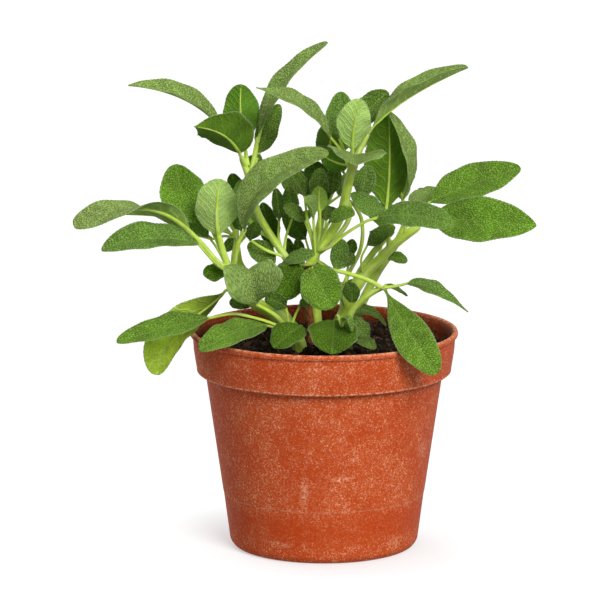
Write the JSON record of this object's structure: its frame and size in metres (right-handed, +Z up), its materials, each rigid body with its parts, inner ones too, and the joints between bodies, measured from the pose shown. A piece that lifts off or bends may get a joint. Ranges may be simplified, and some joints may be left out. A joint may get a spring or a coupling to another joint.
{
  "type": "potted sage",
  "caption": "Young common sage with grey-green leaves on stalks, rooted in dark soil in a weathered terracotta-coloured plastic pot with a tall collar.",
  "frame": {"origin": "centre of the pot's base, on the plane that the pot stands on", "axes": "+Z up along the pot's axis; the viewer in the picture stands on the -Y side and looks along +Y, with +X to the right"},
  "size_m": [0.2234, 0.1506, 0.2457],
  "materials": {
    "pot_plastic": "moulded terracotta-coloured plastic, weathered, with a dusty speckle and fine scratches",
    "soil": "dark crumbly potting mix with light-brown fibres",
    "woody_stem": "young orange-brown bark, dull",
    "leaf": "grey-green felted leaf, finely pebbled above, pale and veined below, on pale green stalks"
  },
  "bodies": {
    "root": {"pot": "pot_plastic", "soil": "soil", "woody_stem": "woody_stem", "high_left_shoot": "leaf", "high_centre_shoot": "leaf", "right_shoot": "leaf", "left_shoot": "leaf", "low_left_shoot": "leaf", "low_front_shoot": "leaf", "front_right_shoot": "leaf", "back_left_shoot": "leaf", "back_centre_shoot": "leaf", "back_right_shoot": "leaf"}
  },
  "joints": []
}
